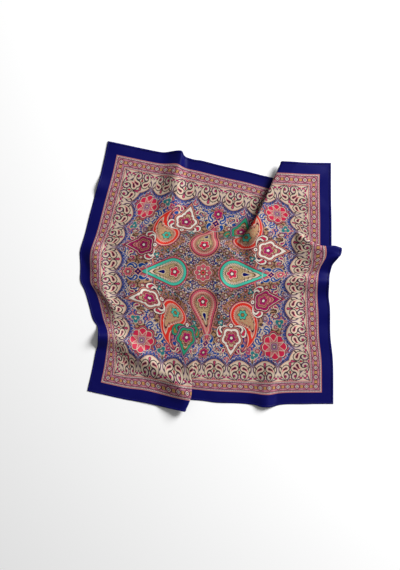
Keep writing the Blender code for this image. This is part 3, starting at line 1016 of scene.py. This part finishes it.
hem_silk = bpy.data.materials.new("navy_silk")
hem_silk.use_nodes = True
hem_start = Ink(hem_silk.node_tree)
hem_shader = hem_silk.node_tree.nodes["Principled BSDF"]
hem_place = hem_start.node("ShaderNodeTexCoord", {}, {}, out="Object")
hem_drawn = hem_start.vector("MULTIPLY", hem_place, (1 / MM, 1 / MM, 1 / MM))
hem_u, hem_v = hem_drawn.parts()
hem_clouds = {"Vector": hem_drawn, "Scale": HEM_DYE_SCALE, "Detail": 1.0}
hem_dye = hem_start.node("ShaderNodeTexNoise", {}, hem_clouds)
hem_colour = hem_dye.ramp("EASE", (0.3, dye(2, 2, 84)), (0.7, dye(4, 4, 100)))[0]
hem_silk.node_tree.links.new(hem_colour.socket, hem_shader.inputs["Base Color"])
hem_slub_stretch = (HEM_SLUB_SCALE, HEM_SLUB_SCALE, HEM_SLUB_SCALE)
hem_slub_place = hem_start.vector("MULTIPLY", hem_drawn, hem_slub_stretch)
twill(hem_start, hem_u, hem_v, hem_slub_place, hem_shader)


def hem(side):
    """The rolled hem of one side: a flattened tube along the rim, mitred at its ends."""
    roll = bmesh.new()
    bmesh.ops.create_grid(roll, x_segments=HEM_SECTION, y_segments=HEM_STEPS, size=0.5)
    for vert in roll.verts:
        round_angle, share = 2 * pi * (vert.co.x + 0.5), 2 * vert.co.y
        across = HEM_MIDDLE + HEM_HALF_WIDTH * cos(round_angle)
        level = HEM_HALF_HEIGHT * (1 + sin(round_angle))
        spot = (share * across, across)
        for _ in range(HEM_SIDES.index(side)):
            spot = (-spot[1], spot[0])
        vert.co = (*spot, level)
    bmesh.ops.remove_doubles(roll, verts=roll.verts[:], dist=SAME_SPOT)
    bmesh.ops.holes_fill(roll, edges=roll.edges[:], sides=0)
    place_cloth(roll, HEM_LEVEL)
    bmesh.ops.recalc_face_normals(roll, faces=roll.faces[:])
    made = piece("rolled_hem_" + side, roll, hem_silk)
    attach(made, "root")
    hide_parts("hem_" + side)
    return made


hems = [hem(side) for side in ("top", "right", "bottom", "left")]

# The stitches that hold the rolled edge: navy silk thread, sewn by hand from the panel up over the
# inner edge of the roll, a short slanted stitch about every 5 mm.
STITCH_STEP = 5.0
STEP_SPREAD = 0.5
STITCH_SLANT = 1.5
SLANT_SPREAD = (0.7, 1.3)
THREAD_RADIUS = 0.24
THREAD_SIDES = 4
STITCH_SEED = 8
STITCH_LINE = (
    # share of its length, from the cut edge, height
    (0.0, 8.7, 0.45),
    (0.5, 6.9, 1.15),
    (1.0, 5.1, 1.95),
)

thread = bmesh.new()
draw = np.random.default_rng(STITCH_SEED)
stitch_count = int((SIDE - 4 * HEM) / STITCH_STEP)
shares, from_edges, levels = zip(*STITCH_LINE)
for turn in range(4):
    for number in range(stitch_count):
        middle = (number - (stitch_count - 1) / 2) * STITCH_STEP
        middle += draw.uniform(-STEP_SPREAD, STEP_SPREAD)
        slant = STITCH_SLANT * draw.uniform(*SLANT_SPREAD)
        bar = bmesh.ops.create_grid(
            thread, x_segments=THREAD_SIDES, y_segments=len(STITCH_LINE) - 1, size=0.5
        )
        for vert in bar["verts"]:
            round_angle, share = 2 * pi * (vert.co.x + 0.5), vert.co.y + 0.5
            beside = middle + slant * (share - 0.5) + THREAD_RADIUS * cos(round_angle)
            spot = (beside, SIDE / 2 - np.interp(share, shares, from_edges))
            for _ in range(turn):
                spot = (-spot[1], spot[0])
            level = np.interp(share, shares, levels)
            vert.co = (*spot, level + THREAD_RADIUS * sin(round_angle))
bmesh.ops.remove_doubles(thread, verts=thread.verts[:], dist=SAME_SPOT)
bmesh.ops.holes_fill(thread, edges=thread.edges[:], sides=THREAD_SIDES)
place_cloth(thread, HEM_LEVEL)
bmesh.ops.recalc_face_normals(thread, faces=thread.faces[:])
stitches = piece("hem_stitches", thread, hem_silk)
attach(stitches, "root")

# The studio: a pale floor, a broad key light from the upper right, and an even white room.
FLOOR_SIZE = 8.0
FLOOR_WHITE = 0.86
FLOOR_ROUGHNESS = 0.9
FLOOR_SPECULAR = 0.1
KEY_PLACE = (3.8, 2.7, 2.9)
KEY_SIZE = 2.6
KEY_POWER = 610
ROOM_LIGHT = 0.25
floor_mesh = bmesh.new()
bmesh.ops.create_grid(floor_mesh, x_segments=1, y_segments=1, size=FLOOR_SIZE / 2)
paper = bpy.data.materials.new("pale_floor")
paper.use_nodes = True
paper_shader = paper.node_tree.nodes["Principled BSDF"]
paper_shader.inputs["Base Color"].default_value = (FLOOR_WHITE, FLOOR_WHITE, FLOOR_WHITE, 1)
paper_shader.inputs["Roughness"].default_value = FLOOR_ROUGHNESS
paper_shader.inputs["Specular IOR Level"].default_value = FLOOR_SPECULAR
floor = piece("floor", floor_mesh, paper)

key = bpy.data.objects.new("key", bpy.data.lights.new("key", "AREA"))
key.data.size = KEY_SIZE
key.data.energy = KEY_POWER
key.location = KEY_PLACE
key.rotation_euler = (-key.location).to_track_quat("-Z", "Y").to_euler()
bpy.context.scene.collection.objects.link(key)

room = bpy.data.worlds.new("room")
room.use_nodes = True
room.node_tree.nodes["Background"].inputs["Color"].default_value = (1, 1, 1, 1)
room.node_tree.nodes["Background"].inputs["Strength"].default_value = ROOM_LIGHT
bpy.context.scene.world = room
bpy.context.scene.view_settings.view_transform = "Standard"
